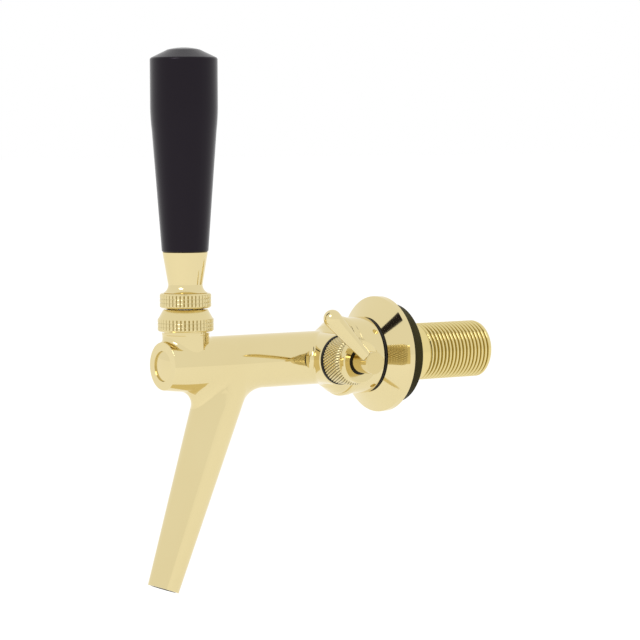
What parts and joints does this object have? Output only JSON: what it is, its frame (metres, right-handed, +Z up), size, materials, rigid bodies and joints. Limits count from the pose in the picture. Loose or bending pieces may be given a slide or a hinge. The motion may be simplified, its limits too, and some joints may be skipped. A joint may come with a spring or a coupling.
{
  "type": "beer tap",
  "caption": "Polished gold beer tap with a tilting black handle, an angled spout, a side flow control, a conical wall plate and a threaded shank.",
  "frame": {"origin": "on the shank's axis in the plane of the wall, at the rear face of the rubber washer", "axes": "+Y along the shank into the wall, +Z up, -Y the front of the tap, +X the side of the flow control"},
  "size_m": [0.0621, 0.1584, 0.2084],
  "materials": {
    "polished_gold": "mirror polished pale gold coating on brass",
    "black_grip": "glossy black moulding",
    "black_rubber": "smooth black rubber",
    "inner_steel": "turned stainless steel",
    "inner_brass": "plain turned brass",
    "white_plastic": "plain white bearing plastic"
  },
  "bodies": {
    "housing": {"tap_body": "polished_gold", "front_plug": "polished_gold", "front_plug_seal": "black_rubber", "ball_seal": "black_rubber", "friction_ring": "white_plastic", "knurled_bonnet": "polished_gold", "gland_gasket": "black_rubber", "gland_nut": "polished_gold", "thrust_washer": "white_plastic", "dust_ring": "black_rubber", "coupling_ring": "polished_gold", "shank_gasket": "black_rubber", "shank": "polished_gold", "escutcheon_gasket": "black_rubber", "escutcheon": "polished_gold", "wall_washer": "black_rubber"},
    "handle": {"lever": "inner_steel", "lock_ring": "polished_gold", "handle_ferrule": "polished_gold", "handle_insert": "inner_brass", "handle_grip": "black_grip"},
    "piston": {"valve_piston": "inner_steel", "piston_front_seal": "black_rubber", "piston_rear_seal": "black_rubber"},
    "flow_control": {"flow_stem": "polished_gold", "eccentric_pin": "inner_steel", "stem_inner_seal": "black_rubber", "stem_outer_seal": "black_rubber", "flow_lever": "polished_gold"},
    "compensator": {"compensator_cone": "white_plastic"}
  },
  "joints": [
    {"name": "lever_tilt", "type": "hinge", "parent": "housing", "child": "handle", "pos_m": [0, -0.0995, 0.0134], "axis": [1, 0, 0], "range_deg": [-10, 25]},
    {"name": "piston_slide", "type": "slide", "parent": "housing", "child": "piston", "axis": [0, 1, 0], "range_m": [-0.0024, 0.0058]},
    {"name": "flow_turn", "type": "hinge", "parent": "housing", "child": "flow_control", "pos_m": [0, -0.0375, 0], "axis": [1, 0, 0], "range_deg": [-60, 60]},
    {"name": "compensator_slide", "type": "slide", "parent": "housing", "child": "compensator", "axis": [0, 1, 0], "range_m": [-0.0023, 0.0023]}
  ],
  "couplings": [
    {"joint": "piston_slide", "follows": "lever_tilt", "m_per_rad": 0.0131},
    {"joint": "compensator_slide", "follows": "flow_turn", "m_per_rad": -0.002175}
  ]
}
